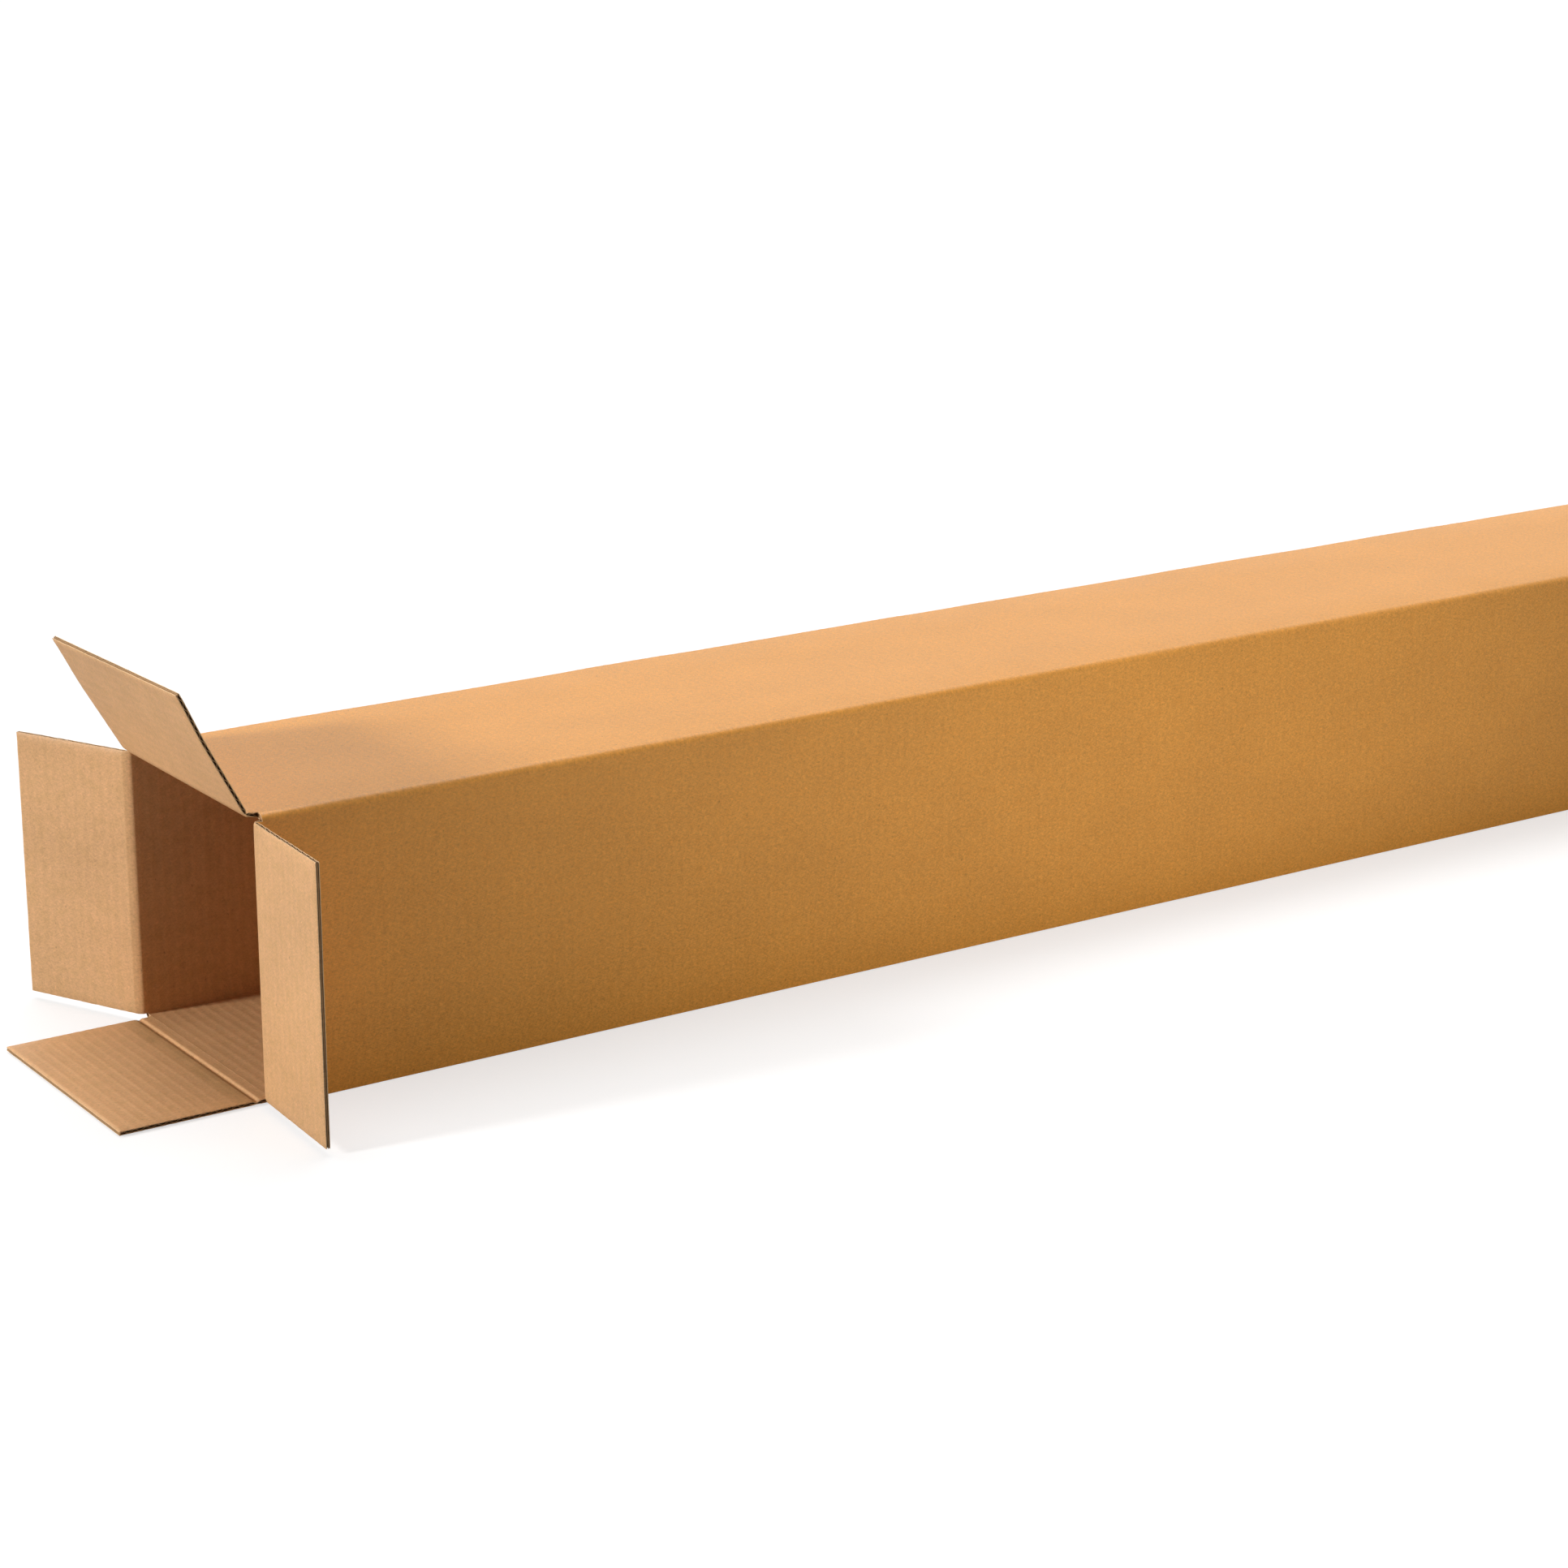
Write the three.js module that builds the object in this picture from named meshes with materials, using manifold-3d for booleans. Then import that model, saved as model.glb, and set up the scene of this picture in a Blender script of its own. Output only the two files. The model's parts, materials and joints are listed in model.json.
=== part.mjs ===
// Tall corrugated carton, lying on one of its long sides with its open end towards -X.
// One sheet of single-wall board is scored, slotted and glued along a tab into a square tube. The four
// flaps at the far end are folded shut and glued. The four flaps at the mouth stand open, each turning on
// its score. +X runs along the tube to the closed end, +Y to its far wall and +Z up. The origin is on the
// underside, halfway between the end scores and halfway across. Millimetres and degrees.

import * as THREE from 'three';
import { mergeVertices } from 'three/addons/utils/BufferGeometryUtils.js';
import Module from 'manifold-3d';

const wasm = await Module();
wasm.setup();

// Clear space inside the carton
const INSIDE_LENGTH = 1219.2;
const INSIDE_WIDTH = 152.4;
const INSIDE_HEIGHT = 152.4;

// The board: two flat liners with a wavy medium glued between them
const BOARD = 3.2;
const LINER = 0.4;
const MEDIUM = 0.35;
const FLUTE_PITCH = 6.35;
const GLUE_LINE = 0.09;        // share of a pitch over which a flute crest sticks to its liner
const WAVE_STEPS = 6;          // straight steps along the open part of one flute

// Folds, scores and slots
const FOLD_RADIUS = 0.8;       // inside radius of a long fold
const SCORE_GAP = 0.3;         // running gap at an open flap's score, and between closed flaps
const SCORE_CRUSH = 2.0;       // pressed band beside a score, where the flutes are flattened
const FOLD_BACK = 120;         // how far a flap folds outwards from straight
const SIDE_SLOT_CLEARANCE = 0.5;   // a side flap's edge passes the next panel's board by this much
const OUTER_SLOT_INSET = 6.0;  // how far the top and bottom flaps stop short of the tube's corner
const SLOT_ROOT = 0.5;         // how far a slot runs past the deeper score
const SEAM_GAP = 0.6;          // gap where two closed flaps meet

// The glued tab, folded up from the bottom panel inside the near wall
const TAB_WIDTH = 35;
const TAB_TAPER = 14;          // how far each end of the tab is cut back at its free edge
const TAB_EDGE_SLANT = 1.2;
const GROOVE_START = 34;       // angle at which the tab's fold leaves the near wall

// How far each mouth flap stands out from straight, as the carton lies
const TOP_FLAP_OPEN = 61;
const NEAR_FLAP_OPEN = 87;
const FAR_FLAP_OPEN = 64;
const BOTTOM_FLAP_OPEN = 0;

// Worked-out sizes
const HALF = BOARD / 2;
const WIDTH = INSIDE_WIDTH + 2 * BOARD;
const HEIGHT = INSIDE_HEIGHT + 2 * BOARD;
const FOLD_OUTER = FOLD_RADIUS + BOARD;
const SIDE_SLOT_INSET = BOARD + SIDE_SLOT_CLEARANCE;
const MOUTH_SIDE_SCORE = BOARD + SCORE_GAP;      // side flaps fold first, so their scores lie deeper
const END_SIDE_SCORE = BOARD;
const SCORE_TO_SCORE = INSIDE_LENGTH + MOUTH_SIDE_SCORE + HALF + END_SIDE_SCORE + HALF;
const MOUTH = -SCORE_TO_SCORE / 2;
const END = SCORE_TO_SCORE / 2;

const radians = THREE.MathUtils.degToRad;
const BACK = radians(FOLD_BACK);
const EDGE_REACH = HALF + SCORE_GAP;
const EDGE_OUTER = (EDGE_REACH - HALF * Math.cos(BACK)) / Math.sin(BACK);
const EDGE_KNEE = EDGE_REACH * (1 - Math.sin(BACK)) / Math.cos(BACK);
const TUBE_START = MOUTH + MOUTH_SIDE_SCORE + EDGE_OUTER + SLOT_ROOT;
const TUBE_STOP = END - END_SIDE_SCORE - HALF - FOLD_RADIUS - SLOT_ROOT;
const LAP = 4 * BOARD;         // how far a panel's end strip runs on into the tube's own wall

// Each panel is drawn as if it were the top one, then turned about the tube's centre line
const OUTER_FLAP = { out: HEIGHT / 2, width: WIDTH - 2 * OUTER_SLOT_INSET, mouthScore: 0, endScore: 0 };
const SIDE_FLAP = {
  out: WIDTH / 2,
  width: HEIGHT - 2 * SIDE_SLOT_INSET,
  mouthScore: MOUTH_SIDE_SCORE,
  endScore: END_SIDE_SCORE,
};
const PANELS = {
  top: { turn: 0, ...OUTER_FLAP },
  near: { turn: 90, ...SIDE_FLAP },
  bottom: { turn: 180, ...OUTER_FLAP },
  far: { turn: -90, ...SIDE_FLAP },
};

const flapDepth = (panel) => panel.out - HALF - SEAM_GAP / 2;

// A shape drawn in the tube's cross-section, run along X
function alongTube(shape, start, stop) {
  const geometry = new THREE.ExtrudeGeometry(shape, { depth: stop - start, bevelEnabled: false, curveSegments: 6 });
  const turn = new THREE.Matrix4().makeBasis(
    new THREE.Vector3(0, 1, 0), new THREE.Vector3(0, 0, 1), new THREE.Vector3(1, 0, 0));
  return geometry.applyMatrix4(turn).translate(start, 0, 0);
}

// Shapes drawn in a board's own section, along X and through its thickness, run across the panel
function acrossPanel(shapes, width) {
  const geometry = new THREE.ExtrudeGeometry(shapes, { depth: width, bevelEnabled: false, curveSegments: 6 });
  const turn = new THREE.Matrix4().makeBasis(
    new THREE.Vector3(1, 0, 0), new THREE.Vector3(0, 0, 1), new THREE.Vector3(0, -1, 0));
  return geometry.applyMatrix4(turn).translate(0, width / 2, 0);
}

// Moves a geometry that was drawn about a board's middle to its panel
function onPanel(geometry, panel) {
  geometry.translate(0, 0, panel.out - HALF);
  geometry.rotateX(radians(panel.turn));
  return geometry.translate(0, 0, HEIGHT / 2);
}

function asSolid(geometry) {
  geometry.deleteAttribute('normal');
  geometry.deleteAttribute('uv');
  const merged = mergeVertices(geometry, 1e-5);
  return new wasm.Manifold(new wasm.Mesh({
    numProp: 3,
    vertProperties: new Float32Array(merged.attributes.position.array),
    triVerts: new Uint32Array(merged.index.array),
  }));
}

function asGeometry(solid) {
  const mesh = solid.getMesh();
  const geometry = new THREE.BufferGeometry();
  geometry.setAttribute('position', new THREE.BufferAttribute(new Float32Array(mesh.vertProperties), 3));
  geometry.setIndex(new THREE.BufferAttribute(new Uint32Array(mesh.triVerts), 1));
  geometry.computeVertexNormals();
  return geometry;
}

// The tube's cross-section, drawn with Y to the right and Z up: four walls with rounded folds, and the
// tab lying on the inner face of the near wall, whose cut lower edge is flush with the underside
function tubeSection() {
  const left = -WIDTH / 2;
  const right = WIDTH / 2;
  const start = radians(180 + GROOVE_START);
  const tabFoldY = left + BOARD + FOLD_OUTER;
  const grooveTop = FOLD_OUTER + FOLD_OUTER * Math.sin(start);
  const tabTop = BOARD + TAB_WIDTH;

  const section = new THREE.Shape();
  section.moveTo(left, 0);
  section.lineTo(left + BOARD, 0);
  section.lineTo(left + BOARD, grooveTop);
  section.lineTo(tabFoldY + FOLD_OUTER * Math.cos(start), grooveTop);
  section.absarc(tabFoldY, FOLD_OUTER, FOLD_OUTER, start, 1.5 * Math.PI, false);
  section.absarc(right - FOLD_OUTER, FOLD_OUTER, FOLD_OUTER, -Math.PI / 2, 0, false);
  section.absarc(right - FOLD_OUTER, HEIGHT - FOLD_OUTER, FOLD_OUTER, 0, Math.PI / 2, false);
  section.absarc(left + FOLD_OUTER, HEIGHT - FOLD_OUTER, FOLD_OUTER, Math.PI / 2, Math.PI, false);
  section.closePath();

  const inside = new THREE.Path();
  inside.moveTo(left + BOARD, tabTop);
  inside.absarc(left + FOLD_OUTER, HEIGHT - FOLD_OUTER, FOLD_RADIUS, Math.PI, Math.PI / 2, true);
  inside.absarc(right - FOLD_OUTER, HEIGHT - FOLD_OUTER, FOLD_RADIUS, Math.PI / 2, 0, true);
  inside.absarc(right - FOLD_OUTER, FOLD_OUTER, FOLD_RADIUS, 0, -Math.PI / 2, true);
  inside.absarc(tabFoldY, FOLD_OUTER, FOLD_RADIUS, -Math.PI / 2, -Math.PI, true);
  inside.lineTo(left + 2 * BOARD, tabTop - TAB_EDGE_SLANT);
  inside.closePath();
  section.holes.push(inside);
  return section;
}

// Cutters for the slanted ends of the tab, which keep it clear of the folding flaps
function tabTaper(end, inwards) {
  const outside = end - inwards * BOARD;
  const low = FOLD_OUTER;
  const high = BOARD + TAB_WIDTH + BOARD;
  const wedge = new THREE.Shape();
  wedge.moveTo(outside, low);
  wedge.lineTo(end, low);
  wedge.lineTo(end + inwards * TAB_TAPER, high);
  wedge.lineTo(outside, high);
  wedge.closePath();
  const thickness = 1.5 * BOARD;
  const cutter = acrossPanel(wedge, thickness);
  return asSolid(cutter.translate(0, -WIDTH / 2 + BOARD + thickness / 2, 0));
}

// The end of a mouth panel: square on the inside, bevelled on the outside so that a flap folds back
function mouthStrip(panel) {
  const score = MOUTH + panel.mouthScore;
  const strip = new THREE.Shape();
  strip.moveTo(score + EDGE_REACH, -HALF);
  strip.lineTo(TUBE_START + LAP, -HALF);
  strip.lineTo(TUBE_START + LAP, HALF);
  strip.lineTo(score + EDGE_OUTER, HALF);
  strip.lineTo(score + EDGE_REACH, EDGE_KNEE);
  strip.closePath();
  return asSolid(onPanel(acrossPanel(strip, panel.width), panel));
}

// A flap at the closed end: the panel's board bent round its score and run on to the seam
function closedFlap(panel) {
  const middle = END - panel.endScore;
  const bendX = middle - HALF - FOLD_RADIUS;
  const bendZ = -HALF - FOLD_RADIUS;
  const tip = -flapDepth(panel);
  const strip = new THREE.Shape();
  strip.moveTo(TUBE_STOP - LAP, HALF);
  strip.absarc(bendX, bendZ, FOLD_OUTER, Math.PI / 2, 0, true);
  strip.lineTo(middle + HALF, tip);
  strip.lineTo(middle - HALF, tip);
  strip.absarc(bendX, bendZ, FOLD_RADIUS, 0, Math.PI / 2, false);
  strip.lineTo(TUBE_STOP - LAP, -HALF);
  strip.closePath();
  return asSolid(onPanel(acrossPanel(strip, panel.width), panel));
}

// The open channels on one side of the medium, from the free edge back to the pressed score.
// side is 1 for the channels under the outer liner and -1 for those over the inner one.
function flutes(depth, side) {
  const face = HALF - LINER;
  const swing = face - MEDIUM / 2;
  const wave = 2 * Math.PI / FLUTE_PITCH;
  const shapes = [];
  const phase = side > 0 ? FLUTE_PITCH / 4 : 3 * FLUTE_PITCH / 4;
  let crest = depth + phase - FLUTE_PITCH;
  while (crest + GLUE_LINE * FLUTE_PITCH > HALF + SCORE_CRUSH) {
    const channel = new THREE.Shape();
    const first = crest + GLUE_LINE * FLUTE_PITCH;
    const last = crest + (1 - GLUE_LINE) * FLUTE_PITCH;
    channel.moveTo(-last, side * face);
    channel.lineTo(-first, side * face);
    for (let step = 0; step <= WAVE_STEPS; step += 1) {
      const along = first + (last - first) * step / WAVE_STEPS;
      const angle = wave * (along - crest);
      const slope = swing * wave * Math.sin(angle);
      const height = swing * Math.cos(angle) + MEDIUM / 2 * Math.hypot(1, slope);
      channel.lineTo(-along, side * height);
    }
    channel.closePath();
    shapes.push(channel);
    crest -= FLUTE_PITCH;
  }
  return shapes;
}

// A mouth flap, drawn about its score and running out along -X, with its channels open at both sides
function openFlap(panel) {
  const depth = flapDepth(panel);
  const width = panel.width;
  const outline = new THREE.Shape();
  outline.moveTo(0, HALF);
  outline.lineTo(-depth, HALF);
  outline.lineTo(-depth, -HALF);
  outline.lineTo(0, -HALF);
  outline.absarc(0, 0, HALF, -Math.PI / 2, Math.PI / 2, false);
  const channels = [...flutes(depth, 1), ...flutes(depth, -1)];
  const board = asSolid(acrossPanel(outline, width));
  return asGeometry(board.subtract(asSolid(acrossPanel(channels, width + 2 * BOARD))));
}

function kraft(color, roughness) {
  return new THREE.MeshStandardMaterial({ color, roughness, metalness: 0 });
}

// The tube and its closed end, one folded sheet
function cartonBody() {
  let body = asSolid(alongTube(tubeSection(), TUBE_START, TUBE_STOP));
  body = body.subtract(tabTaper(TUBE_START, 1)).subtract(tabTaper(TUBE_STOP, -1));
  for (const panel of Object.values(PANELS)) {
    body = body.add(mouthStrip(panel)).add(closedFlap(panel));
  }
  const mesh = new THREE.Mesh(asGeometry(body), kraft(0xb98548, 0.85));
  mesh.name = 'carton_tube';
  return mesh;
}

// A mouth flap in its place: its group carries it to the panel, its own turn opens it about the score
function mouthFlap(name, panel, open) {
  const flap = new THREE.Mesh(openFlap(panel), kraft(0xc69c70, 0.88));
  flap.name = name;
  flap.position.set(MOUTH + panel.mouthScore, 0, panel.out - HALF);
  flap.rotation.y = radians(open);
  const side = new THREE.Group();
  side.position.z = HEIGHT / 2;
  side.rotation.x = radians(panel.turn);
  side.add(flap);
  return side;
}

const carton = new THREE.Group();
carton.add(cartonBody());
carton.add(mouthFlap('top_flap', PANELS.top, TOP_FLAP_OPEN));
carton.add(mouthFlap('near_side_flap', PANELS.near, NEAR_FLAP_OPEN));
carton.add(mouthFlap('bottom_flap', PANELS.bottom, BOTTOM_FLAP_OPEN));
carton.add(mouthFlap('far_side_flap', PANELS.far, FAR_FLAP_OPEN));

export default carton;
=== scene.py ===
import json
import math

import bmesh
import bpy
import numpy as np
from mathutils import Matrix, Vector, noise


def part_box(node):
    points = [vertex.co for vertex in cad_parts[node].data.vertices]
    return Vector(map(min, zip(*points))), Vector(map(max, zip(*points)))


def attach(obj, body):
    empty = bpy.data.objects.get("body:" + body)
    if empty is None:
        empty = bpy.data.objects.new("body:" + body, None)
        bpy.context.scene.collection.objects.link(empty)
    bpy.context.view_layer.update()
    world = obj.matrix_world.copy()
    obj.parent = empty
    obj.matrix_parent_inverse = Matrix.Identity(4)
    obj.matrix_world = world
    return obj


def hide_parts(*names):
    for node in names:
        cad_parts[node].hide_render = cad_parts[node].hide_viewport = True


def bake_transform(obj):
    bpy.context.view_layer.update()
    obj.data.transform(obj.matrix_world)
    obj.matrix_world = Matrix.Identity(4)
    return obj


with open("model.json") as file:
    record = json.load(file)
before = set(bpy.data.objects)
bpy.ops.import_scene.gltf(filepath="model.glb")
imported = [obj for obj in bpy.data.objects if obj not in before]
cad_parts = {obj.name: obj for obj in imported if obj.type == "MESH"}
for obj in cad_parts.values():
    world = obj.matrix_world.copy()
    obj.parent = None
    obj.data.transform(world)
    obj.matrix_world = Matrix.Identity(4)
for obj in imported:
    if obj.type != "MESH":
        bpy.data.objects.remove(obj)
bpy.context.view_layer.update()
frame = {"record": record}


# Camera, table and light
# The box lies on a plain white table. The camera stands in front of the near wall, off to the mouth's side,
# and looks a little down. Soft light comes from the mouth's side, from above and from the near wall's side.
camera_data = bpy.data.cameras.new("camera")
camera_data.lens = 85.04
camera_data.sensor_width = 36.0
camera_data.clip_end = 100.0
camera = bpy.data.objects.new("camera", camera_data)
bpy.context.scene.collection.objects.link(camera)
camera.location = (-1.38975, -1.7197, 0.7158)
camera.rotation_euler = Vector((0.5339, 0.7950, -0.2880)).to_track_quat("-Z", "Y").to_euler()
bpy.context.scene.camera = camera
bpy.context.scene.view_settings.view_transform = "Standard"


def table_finish():
    """Plain matt white, which the camera sees a little brighter and with the box's soft shadow on it."""
    finish = bpy.data.materials.new("table_white")
    finish.use_nodes = True
    nodes = finish.node_tree.nodes
    links = finish.node_tree.links
    shader = nodes["Principled BSDF"]
    shader.inputs["Base Color"].default_value = (0.42, 0.42, 0.42, 1)
    shader.inputs["Roughness"].default_value = 0.9
    shader.inputs["Specular IOR Level"].default_value = 0.0
    shader.inputs["Emission Color"].default_value = (1, 1, 1, 1)
    path = nodes.new("ShaderNodeLightPath")
    lift = nodes.new("ShaderNodeMath")
    lift.operation = "MULTIPLY"
    lift.inputs[1].default_value = 0.66
    links.new(path.outputs["Is Camera Ray"], lift.inputs[0])
    links.new(lift.outputs[0], shader.inputs["Emission Strength"])
    return finish


TABLE_REACH = 30.0
TABLE_DROP = 0.0004
table_corners = [(-1, -1), (1, -1), (1, 1), (-1, 1)]
table_mesh = bpy.data.meshes.new("table")
table_mesh.from_pydata(
    [(TABLE_REACH * x, TABLE_REACH * y, -TABLE_DROP) for x, y in table_corners], [], [(0, 1, 2, 3)])
table_mesh.materials.append(table_finish())
table = bpy.data.objects.new("table", table_mesh)
bpy.context.scene.collection.objects.link(table)

world = bpy.data.worlds.new("studio")
bpy.context.scene.world = world
world.use_nodes = True
world_nodes = world.node_tree.nodes
world_links = world.node_tree.links
soft_sky = world_nodes["Background"]
soft_sky.inputs["Color"].default_value = (1, 1, 1, 1)
soft_sky.inputs["Strength"].default_value = 0.06
seen_sky = world_nodes.new("ShaderNodeBackground")
seen_sky.inputs["Color"].default_value = (1, 1, 1, 1)
seen_sky.inputs["Strength"].default_value = 1.0
# The camera and the board's faint sheen see plain white, and all else gets the soft sky
sky_ray = world_nodes.new("ShaderNodeLightPath")
sky_seen = world_nodes.new("ShaderNodeMath")
sky_seen.operation = "MAXIMUM"
sky_mix = world_nodes.new("ShaderNodeMixShader")
world_links.new(sky_ray.outputs["Is Camera Ray"], sky_seen.inputs[0])
world_links.new(sky_ray.outputs["Is Glossy Ray"], sky_seen.inputs[1])
world_links.new(sky_seen.outputs[0], sky_mix.inputs[0])
world_links.new(soft_sky.outputs[0], sky_mix.inputs[1])
world_links.new(seen_sky.outputs[0], sky_mix.inputs[2])
world_links.new(sky_mix.outputs[0], world_nodes["World Output"].inputs["Surface"])


def soft_sun(name, towards, strength, spread):
    """A wide lamp far away; towards is the direction in which it lies."""
    lamp_data = bpy.data.lights.new(name, "SUN")
    lamp_data.energy = strength
    lamp_data.angle = math.radians(spread)
    lamp = bpy.data.objects.new(name, lamp_data)
    bpy.context.scene.collection.objects.link(lamp)
    lamp.rotation_euler = Vector(towards).to_track_quat("Z", "Y").to_euler()


soft_sun("left_light", (-0.93, 0.12, 0.36), 2.75, 9)
soft_sun("top_light", (0.15, 0.35, 0.92), 2.0, 50)

front_light_data = bpy.data.lights.new("front_light", "AREA")
front_light_data.shape = "RECTANGLE"
front_light_data.size = 0.5
front_light_data.size_y = 0.35
front_light_data.energy = 2.5
front_light = bpy.data.objects.new("front_light", front_light_data)
bpy.context.scene.collection.objects.link(front_light)
front_light.location = (-0.02, -0.70, 0.11)
front_light.rotation_euler = Vector((0, -1, 0)).to_track_quat("Z", "Y").to_euler()
front_light.visible_camera = False
front_light.visible_glossy = False


# Tube
# One sheet of single-wall kraft board: an outer and an inner liner glued to both sides of a wavy medium.
# It is scored and folded round into a square tube. Its tab is glued inside the near wall, whose cut lower
# edge stands on the table.
BOARD = 0.0032
LINER = 0.0004
MEDIUM = 0.00035
PITCH = 0.00635
FOLD_RADIUS = 0.0008
GLUE = 0.00005
TAB_WIDTH = 0.035
TAB_TAPER = 0.014
WALL_STEPS = 4
FOLD_STEPS = 4
SHOWN_FOLD_STEPS = 6
SHARP_DEGREES = 50
SLOT_PAST_SIDE_SCORE = 0.00362
SLOT_PAST_END_SCORE = 0.0061
HALF = BOARD / 2
BEND = FOLD_RADIUS + HALF

scores = {joint["name"]: Vector(joint["pos_m"]) for joint in frame["record"]["behaviour"]["joints"]}
tube_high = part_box("carton_tube")[1]
HEIGHT = tube_high[2]
HALF_WIDTH = tube_high[1]
END_SCORE = tube_high[0] - HALF
TUBE_START = scores["near_side_flap_score"].x + SLOT_PAST_SIDE_SCORE
TUBE_STOP = END_SCORE - SLOT_PAST_END_SCORE


def round_the_tube():
    """The board's middle line, from the near wall's cut edge up, over and round to the tab's top edge.
    Each row is: across, up, outward direction across and up, distance run, and nearness to a fold."""
    rows = []
    place = np.array([-HALF_WIDTH + HALF, 0.0])
    heading = math.pi / 2
    run = 0.0

    def note(fold):
        outward = (math.cos(heading + math.pi / 2), math.sin(heading + math.pi / 2))
        rows.append((place[0], place[1], outward[0], outward[1], run, fold))

    def straight(length, steps):
        nonlocal place, run
        for step in range(steps):
            place = place + np.array([math.cos(heading), math.sin(heading)]) * length / steps
            run += length / steps
            note(0.0)

    def fold(steps):
        nonlocal place, heading, run
        inward = heading - math.pi / 2
        centre = place + np.array([math.cos(inward), math.sin(inward)]) * BEND
        for step in range(steps):
            heading -= math.pi / 2 / steps
            outward = heading + math.pi / 2
            place = centre + np.array([math.cos(outward), math.sin(outward)]) * BEND
            run += BEND * math.pi / 2 / steps
            note(math.sin(math.pi * (step + 1) / steps))

    note(0.0)
    straight(HEIGHT - HALF - BEND, WALL_STEPS)
    fold(SHOWN_FOLD_STEPS)
    straight(2 * (HALF_WIDTH - HALF - BEND), WALL_STEPS)
    fold(FOLD_STEPS)
    straight(HEIGHT - 2 * (HALF + BEND), WALL_STEPS)
    fold(FOLD_STEPS)
    straight(2 * (HALF_WIDTH - HALF - BEND) - BOARD - GLUE, WALL_STEPS)
    fold(FOLD_STEPS)
    straight(BOARD + TAB_WIDTH - HALF - BEND, 2)
    return np.array(rows)


def ridges(along):
    """The washboard that the flutes press into a liner: a ridge over each line of glue."""
    turn = 2 * np.pi * (along - TUBE_START) / PITCH
    return 0.75 * np.cos(turn) + 0.25 * np.cos(2 * turn)


def rough(points, size, seed):
    """Smooth noise from -1 to 1 over an array of points in metres, with waves of about that size."""
    flat = np.asarray(points, float).reshape(-1, 2) / size
    found = [noise.noise(Vector((x, y, seed))) for x, y in flat]
    return np.array(found).reshape(np.asarray(points).shape[:-1])


def ease(low, high, value):
    """0 below low, 1 above high and smooth between them."""
    share = np.clip((value - low) / (high - low), 0, 1)
    return share * share * (3 - 2 * share)


class BoardMesh:
    """Collects the skins of one piece of board, with the blank's flat coordinates as its UV map."""

    def __init__(self):
        self.points = []
        self.flat = []
        self.marks = []
        self.faces = []
        self.finish = []
        self.count = 0

    def add(self, points, flat, marks):
        """Adds a grid of points and gives back the grid of their numbers."""
        numbers = np.arange(points[..., 0].size).reshape(points.shape[:-1]) + self.count
        self.points.append(points.reshape(-1, 3))
        self.flat.append(flat.reshape(-1, 2))
        self.marks.append(np.broadcast_to(marks, points.shape[:-1]).reshape(-1))
        self.count += numbers.size
        return numbers

    def skin(self, grid, finish):
        quads = np.stack([grid[:-1, :-1], grid[1:, :-1], grid[1:, 1:], grid[:-1, 1:]], -1).reshape(-1, 4)
        self.faces.append(quads)
        self.finish.append(np.full(len(quads), finish))

    def rim(self, first, second, finish):
        """A band of faces between two closed loops of the same length."""
        quads = np.stack([first, np.roll(first, -1), np.roll(second, -1), second], -1)
        self.faces.append(quads)
        self.finish.append(np.full(len(quads), finish))

    def sheet(self, upper, lower, flat, marks, finishes):
        """A closed sheet between two grids. Its finishes are for the upper face, lower face and cut edges."""
        top = self.add(upper, flat, marks)
        bottom = self.add(lower, flat, marks)
        self.skin(top, finishes[0])
        self.skin(bottom[::-1], finishes[1])
        self.rim(around(bottom), around(top), finishes[2])

    def build(self, name):
        mesh = bpy.data.meshes.new(name)
        mesh.from_pydata(np.concatenate(self.points).tolist(), [], np.concatenate(self.faces).tolist())
        for finish in FINISHES:
            mesh.materials.append(finish)
        mesh.polygons.foreach_set("material_index", np.concatenate(self.finish).astype(np.int32))
        corners = np.empty(len(mesh.loops), np.int32)
        mesh.loops.foreach_get("vertex_index", corners)
        blank = mesh.uv_layers.new(name="blank")
        blank.data.foreach_set("uv", np.concatenate(self.flat)[corners].astype(np.float32).ravel())
        # The marks of painted shade and light at the scores, and of the partly rubbed, partly painted shade
        # folds, go to the shader as an attribute
        painted_light_and_rub = mesh.attributes.new("painted_light_and_rub", "FLOAT", "POINT")
        painted_light_and_rub.data.foreach_set("value", np.concatenate(self.marks).astype(np.float32))
        shape = bmesh.new()
        shape.from_mesh(mesh)
        bmesh.ops.recalc_face_normals(shape, faces=shape.faces)
        sharp = math.radians(SHARP_DEGREES)
        for edge in shape.edges:
            edge.smooth = len(edge.link_faces) == 2 and edge.calc_face_angle(0) < sharp
        for face in shape.faces:
            face.smooth = True
        shape.to_mesh(mesh)
        shape.free()
        board = bpy.data.objects.new(name, mesh)
        bpy.context.scene.collection.objects.link(board)
        return board


def around(grid):
    """What lies round the outside of a grid, as one loop."""
    return np.concatenate([grid[0, :-1], grid[:-1, -1], grid[-1, :0:-1], grid[:0:-1, 0]])


def paper_socket(group, name, kind, side, value=None):
    socket = group.interface.new_socket(name=name, in_out=side, socket_type=kind)
    if value is not None:
        socket.default_value = value


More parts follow.
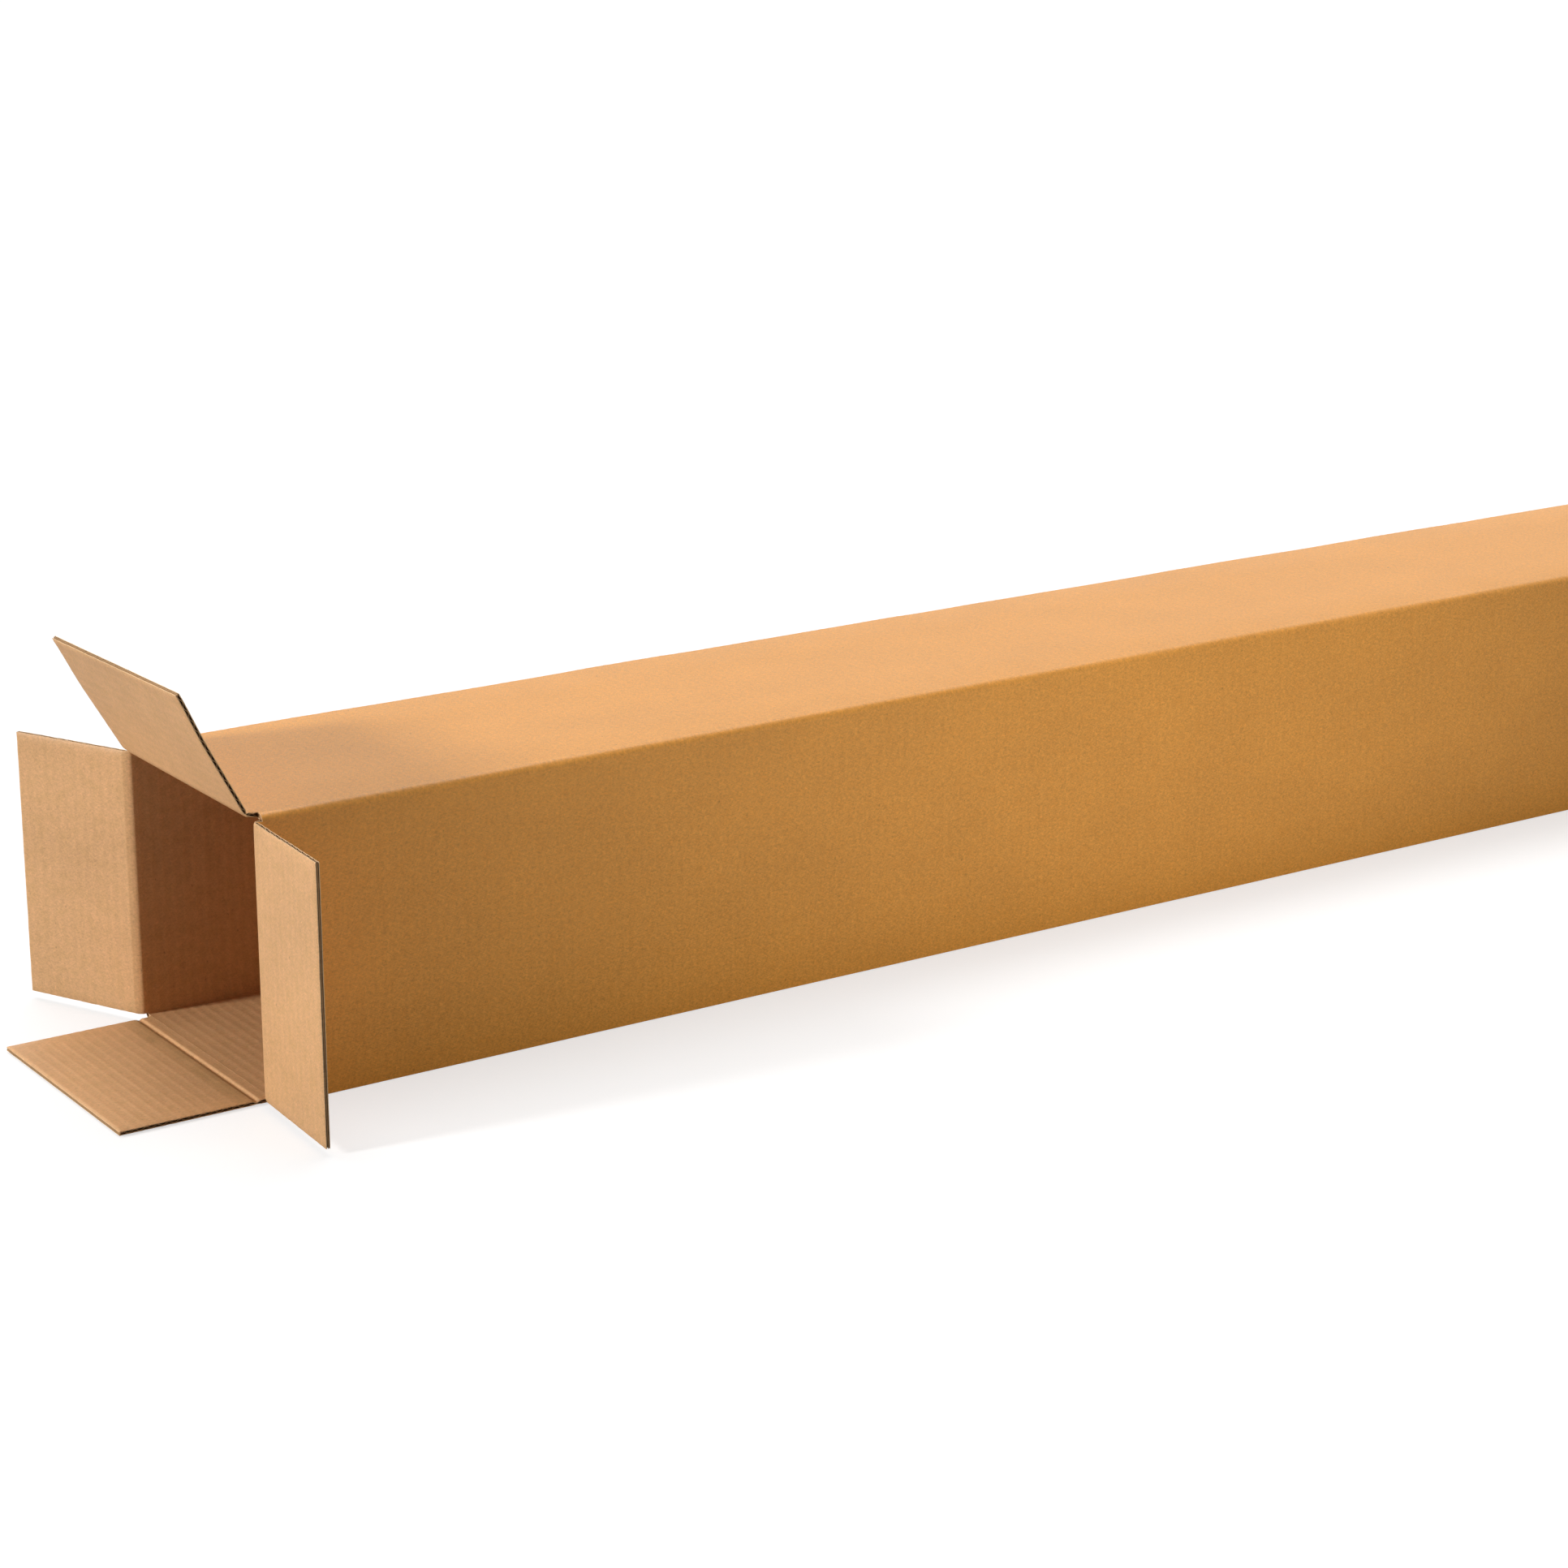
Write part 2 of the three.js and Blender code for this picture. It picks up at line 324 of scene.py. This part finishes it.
def kraft_group():
    """Kraft paper's look over the blank: cloudy tone, fine fibres, dark specks and the flutes' faint bands.
    It gives a colour, a height for the fine relief and a roughness."""
    group = bpy.data.node_groups.new("kraft_paper", "ShaderNodeTree")
    paper_socket(group, "Paper", "NodeSocketColor", "INPUT", (0.7, 0.4, 0.2, 1))
    paper_socket(group, "Shade", "NodeSocketColor", "INPUT", (0.6, 0.3, 0.1, 1))
    paper_socket(group, "Cloud", "NodeSocketFloat", "INPUT", 0.5)
    paper_socket(group, "Grain", "NodeSocketFloat", "INPUT", 0.5)
    paper_socket(group, "Flutes", "NodeSocketFloat", "INPUT", 0.1)
    paper_socket(group, "Painted_light_and_rub", "NodeSocketFloat", "INPUT", 0.0)
    paper_socket(group, "Color", "NodeSocketColor", "OUTPUT")
    paper_socket(group, "Height", "NodeSocketFloat", "OUTPUT")
    paper_socket(group, "Roughness", "NodeSocketFloat", "OUTPUT")
    nodes = group.nodes
    links = group.links
    given = nodes.new("NodeGroupInput")
    result = nodes.new("NodeGroupOutput")
    blank = nodes.new("ShaderNodeUVMap")
    blank.uv_map = "blank"

    def figure(operation, first, second=None, third=None):
        """One sum: the arguments are sockets or numbers."""
        node = nodes.new("ShaderNodeMath")
        node.operation = operation
        for socket, value in zip(node.inputs, (first, second, third)):
            if isinstance(value, (int, float)):
                socket.default_value = value
            elif value is not None:
                links.new(value, socket)
        return node.outputs[0]

    def stretched(along, across, turn=0.0):
        """The blank's coordinates in units of along and across metres, turned by that many degrees."""
        node = nodes.new("ShaderNodeMapping")
        node.vector_type = "TEXTURE"
        node.inputs["Scale"].default_value = (along, across, 1)
        node.inputs["Rotation"].default_value = (0, 0, math.radians(turn))
        links.new(blank.outputs["UV"], node.inputs["Vector"])
        return node.outputs[0]

    def mottle(place, detail, roughness=0.55):
        node = nodes.new("ShaderNodeTexNoise")
        node.noise_dimensions = "2D"
        node.inputs["Scale"].default_value = 1.0
        node.inputs["Detail"].default_value = detail
        node.inputs["Roughness"].default_value = roughness
        links.new(place, node.inputs["Vector"])
        return node.outputs["Fac"]

    def specks(place, reach, share):
        """A mask of small separate marks, in that share of the cells."""
        node = nodes.new("ShaderNodeTexVoronoi")
        node.voronoi_dimensions = "2D"
        node.inputs["Scale"].default_value = 1.0
        links.new(place, node.inputs["Vector"])
        chosen = nodes.new("ShaderNodeSeparateColor")
        links.new(node.outputs["Color"], chosen.inputs[0])
        size = figure("MULTIPLY", figure("LESS_THAN", chosen.outputs[0], share), reach)
        size = figure("MULTIPLY", size, figure("ADD", chosen.outputs[1], 0.3))
        inside = figure("SUBTRACT", size, node.outputs["Distance"])
        return figure("MULTIPLY", figure("MAXIMUM", inside, 0.0), 1.6 / reach)

    cloud = mottle(stretched(0.060, 0.045), 4)
    patches = mottle(stretched(0.0085, 0.0065), 3)
    grain = mottle(stretched(0.0016, 0.0013), 3, 0.7)
    fibres_one = mottle(stretched(0.0042, 0.00055, 8), 2)
    fibres_two = mottle(stretched(0.0048, 0.0006, -31), 2)
    fibres_three = mottle(stretched(0.0040, 0.0006, 64), 2)
    fibres = figure("MULTIPLY", figure("ADD", figure("ADD", fibres_one, fibres_two), fibres_three), 1 / 3)
    dark = figure("ADD", specks(stretched(0.0065, 0.0130, 4), 0.050, 0.25),
                  specks(stretched(0.022, 0.034, -9), 0.030, 0.45))
    pale = specks(stretched(0.021, 0.0042, -33), 0.075, 0.30)
    pale_more = specks(stretched(0.0046, 0.019, 12), 0.075, 0.22)

    split = nodes.new("ShaderNodeSeparateXYZ")
    links.new(blank.outputs["UV"], split.inputs[0])
    turn = figure("MULTIPLY", figure("SUBTRACT", split.outputs["X"], TUBE_START), 2 * math.pi / PITCH)
    sway = figure("MULTIPLY", figure("SUBTRACT", mottle(stretched(0.02, 0.05), 2), 0.5), 2.2)
    bands = figure("COSINE", figure("ADD", turn, sway))
    worn = mottle(stretched(0.018, 0.012), 3)
    bands = figure("MULTIPLY", bands, figure("MULTIPLY", worn, 1.4))
    bands = figure("MULTIPLY", bands, given.outputs["Flutes"])

    tone = figure("MULTIPLY", figure("SUBTRACT", cloud, 0.5), given.outputs["Cloud"])
    tone = figure("ADD", tone, figure("MULTIPLY", figure("SUBTRACT", patches, 0.5),
                                      figure("MULTIPLY", given.outputs["Cloud"], 0.8)))
    fine = figure("MULTIPLY", figure("SUBTRACT", grain, 0.5), given.outputs["Grain"])
    fine = figure("ADD", fine, figure("MULTIPLY", figure("SUBTRACT", fibres, 0.5),
                                      figure("MULTIPLY", given.outputs["Grain"], 1.6)))
    level = figure("ADD", figure("ADD", tone, fine), bands)
    level = figure("SUBTRACT", level, figure("MULTIPLY", dark, 0.22))
    level = figure("ADD", level, figure("MULTIPLY", figure("ADD", pale, pale_more), 0.13))
    # Negative marks lighten the colour: the painted lighter band and painted highlight at each score
    level = figure("SUBTRACT", level, figure("MINIMUM", given.outputs["Painted_light_and_rub"], 0.0))
    level = figure("ADD", level, 1.0)

    warm = nodes.new("ShaderNodeMix")
    warm.data_type = "RGBA"
    warm_share = figure("MULTIPLY", figure("SUBTRACT", patches, 0.38), 1.5)
    warm_share.node.use_clamp = True
    # Positive marks mix in the shade colour: painted shade past each score, and partly rubbed board, partly
    # painted shade along the folds
    warm_share = figure("MAXIMUM", warm_share, given.outputs["Painted_light_and_rub"])
    links.new(warm_share, warm.inputs["Factor"])
    links.new(given.outputs["Paper"], warm.inputs["A"])
    links.new(given.outputs["Shade"], warm.inputs["B"])
    scaled = nodes.new("ShaderNodeVectorMath")
    scaled.operation = "SCALE"
    links.new(warm.outputs["Result"], scaled.inputs[0])
    links.new(level, scaled.inputs["Scale"])
    links.new(scaled.outputs[0], result.inputs["Color"])

    height = figure("ADD", figure("MULTIPLY", grain, 0.5), figure("MULTIPLY", fibres, 0.9))
    links.new(height, result.inputs["Height"])
    links.new(figure("ADD", 0.36, figure("MULTIPLY", grain, 0.2)), result.inputs["Roughness"])
    return group


kraft_paper = kraft_group()


def kraft_finish(name, paper, shade, cloud, grain, flutes, relief, sheen):
    """One side of the board in its own tone. Painted shade past the scores, and the folds' darker bands,
    partly rubbed board and partly painted shade, take the shade colour.
    """
    finish = bpy.data.materials.new(name)
    finish.use_nodes = True
    nodes = finish.node_tree.nodes
    links = finish.node_tree.links
    shader = nodes["Principled BSDF"]
    shader.inputs["Specular IOR Level"].default_value = sheen
    look = nodes.new("ShaderNodeGroup")
    look.node_tree = kraft_paper
    look.inputs["Paper"].default_value = paper
    look.inputs["Shade"].default_value = shade
    look.inputs["Cloud"].default_value = cloud
    look.inputs["Grain"].default_value = grain
    look.inputs["Flutes"].default_value = flutes
    painted_light_and_rub = nodes.new("ShaderNodeAttribute")
    painted_light_and_rub.attribute_name = "painted_light_and_rub"
    links.new(painted_light_and_rub.outputs["Fac"], look.inputs["Painted_light_and_rub"])
    links.new(look.outputs["Color"], shader.inputs["Base Color"])
    links.new(look.outputs["Roughness"], shader.inputs["Roughness"])
    bump = nodes.new("ShaderNodeBump")
    bump.inputs["Strength"].default_value = relief
    bump.inputs["Distance"].default_value = 0.0002
    links.new(look.outputs["Height"], bump.inputs["Height"])
    links.new(bump.outputs["Normal"], shader.inputs["Normal"])
    return finish


FINISHES = (
    kraft_finish("kraft_outside", (0.76, 0.334, 0.058, 1), (0.68, 0.285, 0.044, 1),
                 cloud=0.16, grain=0.60, flutes=0.012, relief=0.5, sheen=0.5),
    kraft_finish("kraft_inside", (0.71, 0.405, 0.195, 1), (0.54, 0.315, 0.135, 1),
                 cloud=0.22, grain=0.42, flutes=0.03, relief=0.6, sheen=0.25),
    kraft_finish("kraft_medium", (0.46, 0.26, 0.12, 1), (0.38, 0.21, 0.09, 1),
                 cloud=0.3, grain=0.5, flutes=0.0, relief=0.8, sheen=0.25),
    kraft_finish("kraft_edge", (0.78, 0.53, 0.29, 1), (0.66, 0.42, 0.20, 1),
                 cloud=0.3, grain=0.5, flutes=0.0, relief=0.8, sheen=0.25),
)
OUTSIDE, INSIDE, CUT, EDGE = range(4)

# The walls bow a little, the folds are crushed unevenly and the flutes show through both liners
STEPS_PER_FLUTE = 6
BOW = 0.0005
BOW_WAVE = 0.11
BOW_FADE = 0.04
CRUSH = 0.0006
CRUSH_WAVES = (0.012, 0.045)
FOLD_SPACING = 0.15
FOLD_RIDGE = 0.00012
OUTSIDE_RIDGE = 0.00003
INSIDE_RIDGE = 0.00008
# The folds' outer skin takes the shade colour: partly rubbed board, partly painted shade of the fold's turn
FOLD_RUB_AND_SHADE = 0.55
path = round_the_tube()
rings = int(round((TUBE_STOP - TUBE_START) / PITCH * STEPS_PER_FLUTE)) + 1
share = np.linspace(0, 1, rings)[:, None]
tab_start = path[-3, 4]
tab_cut = TAB_TAPER * np.clip((path[:, 4] - tab_start) / (path[-1, 4] - tab_start), 0, 1)
along = (TUBE_START + tab_cut) * (1 - share) + (TUBE_STOP - tab_cut) * share
run = np.broadcast_to(path[:, 4], along.shape)
flat = np.stack([along, run], -1)
fade = ease(TUBE_START, TUBE_START + BOW_FADE, along) * (1 - ease(TUBE_STOP - BOW_FADE, TUBE_STOP, along))
bow = rough(flat, BOW_WAVE, 3.1) * BOW * fade
fold_line = np.stack([along, np.round(run / FOLD_SPACING) * FOLD_SPACING], -1)
short_waves = rough(fold_line, CRUSH_WAVES[0], 7.7)
long_waves = rough(fold_line, CRUSH_WAVES[1], 9.2)
crush = (short_waves * 0.35 + long_waves * 0.65 - 0.25) * CRUSH
crush = (crush + FOLD_RIDGE * ridges(along)) * path[:, 5] * fade


def tube_skin(offset):
    """A grid of points that lies offset outwards from the board's middle."""
    reach = offset + bow + crush
    return np.stack([
        along,
        path[:, 0] + path[:, 2] * reach,
        path[:, 1] + path[:, 3] * reach,
    ], -1)


outer_skin = tube_skin(HALF - OUTSIDE_RIDGE * ridges(along))
inner_skin = tube_skin(-HALF - INSIDE_RIDGE * ridges(along))
# Darker along each fold: partly rubbed board, partly painted shade
fold_rub_and_shade = FOLD_RUB_AND_SHADE * path[:, 5] + 0 * along
tube = BoardMesh()
outer_grid = tube.add(outer_skin, flat, fold_rub_and_shade)
inner_grid = tube.add(inner_skin, flat, 0.0)
tube.skin(outer_grid, OUTSIDE)
tube.skin(inner_grid[::-1], INSIDE)

# The tube's raw edges are open between the liners: a lip of each liner, and a groove as deep as it shows
LIP_END = 0.0005
LIP_SIDE = 0.004
inwards = np.zeros(outer_skin.shape)
inwards[0, :, 0] += LIP_END
inwards[-1, :, 0] -= LIP_END
inwards[:, 0, 2] += LIP_SIDE
inwards[:, -1, 2] -= LIP_SIDE
lip = (outer_skin - inner_skin) * LINER / BOARD
loops = [around(outer_grid)]
for skin in (outer_skin - lip, outer_skin - lip + inwards, inner_skin + lip + inwards, inner_skin + lip):
    loops.append(tube.add(around(skin), around(flat), 0.0))
loops.append(around(inner_grid))
for first, second, finish in zip(loops, loops[1:], (EDGE, CUT, CUT, CUT, EDGE)):
    tube.rim(first, second, finish)

tube_board = tube.build("tube_board")
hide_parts("carton_tube")
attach(tube_board, "tube")


WAVE_STEPS = 10
EDGE_SET_BACK = 0.0002


def edge_flutes(name, station, inward):
    """The medium, as it shows in a cut edge of the tube: one long wave between the two liners."""
    first = along[0, station]
    last = along[-1, station]
    steps = int((last - first) / PITCH * WAVE_STEPS)
    x = np.linspace(first, last, steps)[:, None]
    depth = np.array([EDGE_SET_BACK, LIP_SIDE])
    middle = (HALF - LINER - MEDIUM / 2) * -np.cos(2 * np.pi * (x - TUBE_START) / PITCH)
    place = path[station]

    def side(offset):
        return np.stack([
            x + 0 * depth,
            place[0] + place[2] * (middle + offset) + 0 * depth,
            place[1] + inward * depth + 0 * x,
        ], -1)

    wave = BoardMesh()
    wave_flat = np.stack([x + 0 * depth, place[4] + inward * depth + 0 * x], -1)
    wave.sheet(side(MEDIUM / 2), side(-MEDIUM / 2), wave_flat, 0.0, (CUT, CUT, CUT))
    flutes = wave.build(name)
    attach(flutes, "tube")


edge_flutes("near_wall_edge_flutes", 0, 1)
edge_flutes("tab_edge_flutes", -1, -1)


# Mouth flaps
# Each flap is the end of its wall, bent at a score that a wheel pressed into the board. The medium is
# crushed flat along the score. The flutes run along it, so they stand open at the flap's two cut sides.
PRESS_DEPTH = 0.0009
PRESS_ON_WALL = 0.0018
PRESS_ON_FLAP = 0.0030
CUT_PINCH = 0.32
PINCH_END = 0.0014
PINCH_SIDE = 0.0022
RAGGED_SIDE = 0.00018
RAGGED_SIDE_WAVE = 0.004
RAGGED_END = 0.0002
RAGGED_END_WAVE = 0.006
JOIN = 0.002
MEDIUM_SINK = 0.00002
FLAP_COLUMNS = 29
PINCH_COLUMNS = (-0.985, -0.992, 0.985, 0.992)


class Wall:
    """One wall of the tube: its outward direction, the direction round the tube, and where its middle is."""

    def __init__(self, outward, around_tube, middle_run):
        self.outward = np.array(outward, float)
        self.around_tube = np.array(around_tube, float)
        self.middle_run = middle_run


side_run = HEIGHT / 2
corner_run = HALF_WIDTH - HALF - BEND + BEND * math.pi / 4
top_run = HEIGHT - HALF - BEND + BEND * math.pi / 4 + corner_run
WALLS = {
    "near": Wall((0, -1, 0), (0, 0, 1), side_run),
    "top": Wall((0, 0, 1), (0, 1, 0), top_run),
    "far": Wall((0, 1, 0), (0, 0, -1), top_run + 2 * corner_run),
    "bottom": Wall((0, 0, -1), (0, -1, 0), top_run + 4 * corner_run),
}


def flap_board(name, wall, score, towards, reach, half_width, lead, bend, press, curl, ripple, mark, seed):
    """A flap from the tube's slots to its free edge. score is the middle of its score, towards is -1 at
    the mouth and 1 at the shut end, lead is how much of the wall comes with it, and bend turns points.
    curl, ripple and mark give its bow, washboard and painted shade and light, from the distances out and
    across."""
    stations = int(round((reach + lead) / PITCH * WAVE_STEPS)) + 1
    out = np.linspace(-lead, reach, stations)[:, None]
    spread = np.concatenate([np.linspace(-1, 1, FLAP_COLUMNS), PINCH_COLUMNS])
    across = np.sort(spread)[None, :] * half_width
    flat = np.stack([score[0] + towards * out + 0 * across, wall.middle_run + across + 0 * out], -1)
    out, across = np.broadcast_arrays(out, across)
    away = ease(-lead, -lead + JOIN, out)
    ragged = rough(np.stack([out, np.sign(across) * 0.5], -1), RAGGED_SIDE_WAVE, seed) * RAGGED_SIDE * away
    across = across + ragged * np.abs(across / half_width) ** 12 * np.sign(across)
    ragged_end = rough(np.stack([across, 0 * across], -1), RAGGED_END_WAVE, seed + 5) * RAGGED_END
    out = out + ragged_end * ease(reach - RAGGED_SIDE_WAVE, reach, out)
    band = (1 - ease(0, PRESS_ON_WALL, -out)) * (1 - ease(0, PRESS_ON_FLAP, out))
    near_end = ease(reach - PINCH_END, reach, out)
    near_side = ease(half_width - PINCH_SIDE, half_width, np.abs(across))
    pinch = 1 - CUT_PINCH * np.maximum(near_end, near_side) ** 2 * away
    strength = ripple(out, across) * (1 - band)
    bands = ridges(flat[..., 0])
    shift = curl(out, across)
    outer = (HALF - LINER / 2 * band) * pinch - OUTSIDE_RIDGE * bands * (1 - band)
    inner = -HALF * pinch + press * band - strength * bands
    under_outer = outer - LINER
    over_inner = inner + LINER
    middle = (under_outer + over_inner) / 2
    swing = (under_outer - over_inner) / 2 - MEDIUM / 2 + MEDIUM_SINK
    wave = middle - np.maximum(swing, 0) * np.cos(2 * np.pi * (flat[..., 0] - TUBE_START) / PITCH)

    def placed(offset):
        local = bend(out, offset + shift, across)
        return (np.array(score) + local[..., 0:1] * np.array([towards, 0, 0])
                + local[..., 1:2] * wall.outward + across[..., None] * wall.around_tube)

    board = BoardMesh()
    marks = mark(out, across)
    board.sheet(placed(outer), placed(under_outer), flat, 0.3 * marks, (OUTSIDE, CUT, EDGE))
    board.sheet(placed(wave + MEDIUM / 2), placed(wave - MEDIUM / 2), flat, 0.0, (CUT, CUT, CUT))
    board.sheet(placed(over_inner), placed(inner), flat, marks, (CUT, INSIDE, EDGE))
    return board.build(name)


def open_bend(angle, twist, half_width, half_band):
    """Turns a flap about its score by angle, outwards, with a smooth band at the score itself."""
    def bend(out, offset, across):
        turned = np.radians(angle + twist * across / half_width) * (1 - ease(-half_band, half_band, -out))
        return np.stack([
            out * np.cos(turned) - offset * np.sin(turned),
            out * np.sin(turned) + offset * np.cos(turned),
        ], -1)
    return bend


OUTER_FLAP_INSET = 0.006
SIDE_FLAP_INSET = BOARD + 0.0005
SEAM = 0.0006
OUTER_HALF = HALF_WIDTH - OUTER_FLAP_INSET
SIDE_HALF = HEIGHT / 2 - SIDE_FLAP_INSET
SCORE_REACH = 0.0026
# The last two numbers of each flap give the strength and reach of the painted shade on the flap's side of its
# score
MOUTH_FLAPS = {
    "top": {"body": "top_flap", "angle": 61, "twist": -1.2, "lift": 0.0013, "half_width": OUTER_HALF,
            "ripple": 0.00004, "score_shade": 0.4, "score_shade_reach": 0.005},
    "near": {"body": "near_side_flap", "angle": 87, "twist": 0, "lift": 0, "half_width": SIDE_HALF,
             "ripple": 0.00002, "score_shade": 0.4, "score_shade_reach": 0.005},
    "bottom": {"body": "bottom_flap", "angle": 0, "twist": 0, "lift": 0, "half_width": OUTER_HALF,
               "ripple": 0.00006, "score_shade": 1.0, "score_shade_reach": 0.017},
    "far": {"body": "far_side_flap", "angle": 64, "twist": 0, "lift": 0, "half_width": SIDE_HALF,
            "ripple": 0.00003, "score_shade": 0.4, "score_shade_reach": 0.005},
}

for side, sizes in MOUTH_FLAPS.items():
    body = sizes["body"]
    wall = WALLS[side]
    score = scores[body + "_score"]
    lead = TUBE_START - score.x
    half_band = min(SCORE_REACH, lead - HALF)
    reach = HALF_WIDTH - HALF - SEAM / 2

    def ripple(out, across):
        return sizes["ripple"] * (0.8 + 0.5 * rough(np.stack([out * 3, across], -1), 0.03, 4.0))

    def curl(out, across):
        return sizes["lift"] * (ease(-lead, 0, out) + ease(reach * 0.55, reach, out))

    def mark(out, across):
        """Painted shade on the flap's side of the score, a painted lighter band on the wall's side, and a
        painted highlight on the crease between.
        """
        # Painted shade where the flap bends away from the light past the score
        score_shade = sizes["score_shade"] * ease(0.0003, 0.0012, out)
        score_shade = score_shade * (1 - ease(0.4, 1, out / sizes["score_shade_reach"]))
        score_shade = score_shade * (0.8 + 0.5 * rough(np.stack([out * 2, across], -1), 0.012, 6.0))
        # A painted lighter band on the wall's side of the score, and a painted highlight on the crease
        smooth = 0.05 * ease(-0.0038, -0.003, out) * (1 - ease(-0.0006, 0.0, out))
        crease_highlight = 0.07 * (1 - ease(0.0002, 0.0006, np.abs(out)))
        return score_shade - smooth - crease_highlight + 0 * across

    bend = open_bend(sizes["angle"], sizes["twist"], sizes["half_width"], half_band)
    flap = flap_board(body + "_board", wall, score, -1, reach, sizes["half_width"], lead, bend,
                      PRESS_DEPTH, curl, ripple, mark, 11.0 + score.z * 40 + score.y * 7)
    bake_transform(flap)
    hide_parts(body)


# Shut end
# The four flaps of the far end are folded shut, the side ones first and the outer two over them, where they
# meet at a seam. They are glued to each other, so they don't move and ride on the tube.
def shut_bend(out, offset, across):
    """Turns a flap of the shut end inwards by a right angle, round the board's own inside radius."""
    quarter = BEND * math.pi / 4
    turned = np.clip((out + quarter) / BEND, 0, math.pi / 2)
    before = np.minimum(out + quarter, 0)
    after = np.maximum(out - quarter, 0)
    return np.stack([
        -BEND + before + (BEND + offset) * np.sin(turned),
        -BEND + (BEND + offset) * np.cos(turned) - after,
    ], -1)


for side in ("near", "far", "top", "bottom"):
    wall = WALLS[side]
    is_outer = side in ("top", "bottom")
    wall_out = (HEIGHT / 2 if is_outer else HALF_WIDTH) - HALF
    score_x = END_SCORE - (0 if is_outer else BOARD)
    score = Vector(np.array([score_x, 0, HEIGHT / 2]) + wall.outward * wall_out)
    quarter = BEND * math.pi / 4
    reach = HALF_WIDTH - HALF - SEAM / 2 - BEND + quarter
    lead = score_x - BEND - TUBE_STOP + quarter

    def shut_curl(out, across):
        return 0 * out

    def shut_ripple(out, across):
        return INSIDE_RIDGE + 0 * out

    # Darker along the shut fold: partly rubbed board, partly painted shade of the fold
    def shut_mark(out, across):
        return 0.5 * (1 - ease(0, 0.005, np.abs(out)))

    flap = flap_board(side + "_shut_flap", wall, score, 1, reach, OUTER_HALF if is_outer else SIDE_HALF,
                      lead, shut_bend, 0.0, shut_curl, shut_ripple, shut_mark, 31.0 + wall.middle_run)
    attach(flap, "tube")
